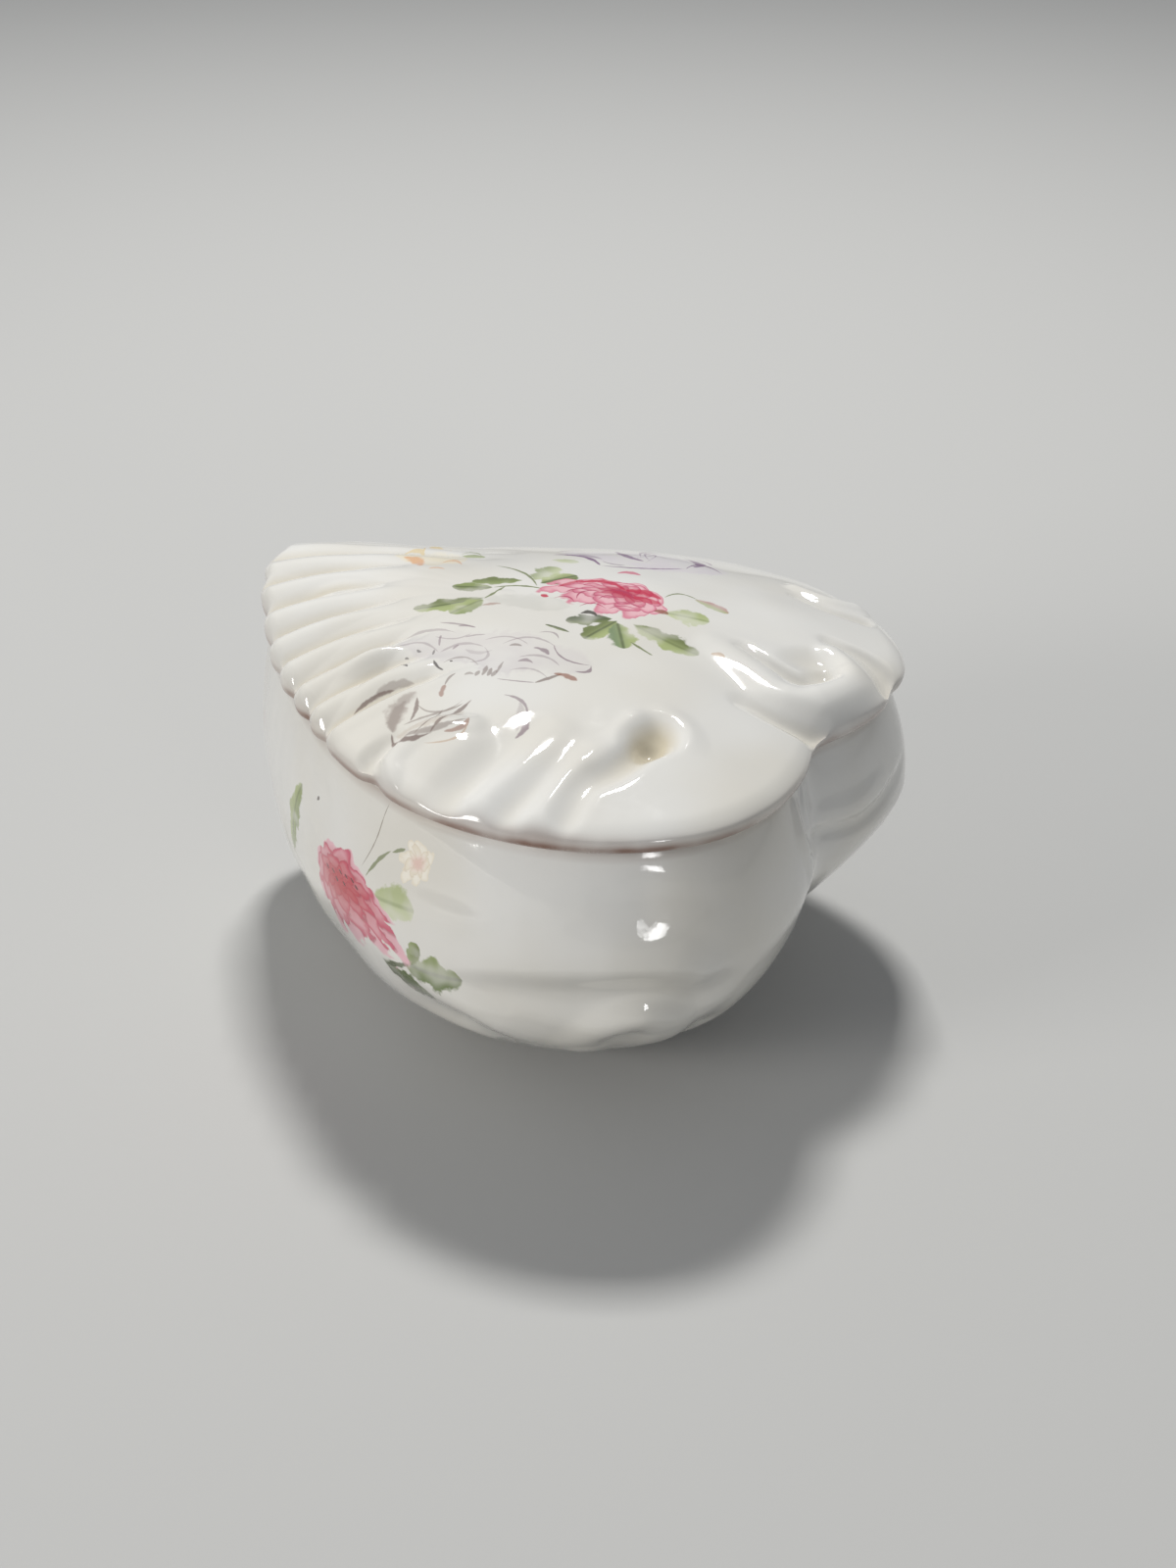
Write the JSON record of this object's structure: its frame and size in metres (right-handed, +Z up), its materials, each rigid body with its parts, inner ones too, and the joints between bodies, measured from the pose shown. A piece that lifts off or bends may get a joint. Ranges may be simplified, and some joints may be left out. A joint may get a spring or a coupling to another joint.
{
  "type": "ceramic trinket box",
  "caption": "Heart-shaped glazed porcelain trinket box with a bulbous hollow base, a small foot and a domed, moulded lid that lifts off.",
  "frame": {"origin": "centre of the bounding box in plan, at the underside of the foot", "axes": "+Z up; X along the heart's long axis, with the heart's point at -X and its cleft at +X"},
  "size_m": [0.1362, 0.124, 0.0788],
  "materials": {
    "base_porcelain": "gloss glaze over white porcelain, hand-tinted flower transfer",
    "lid_porcelain": "gloss glaze over white porcelain, hand-tinted flower transfer"
  },
  "bodies": {
    "root": {"base": "base_porcelain", "lid": "lid_porcelain"}
  },
  "joints": []
}
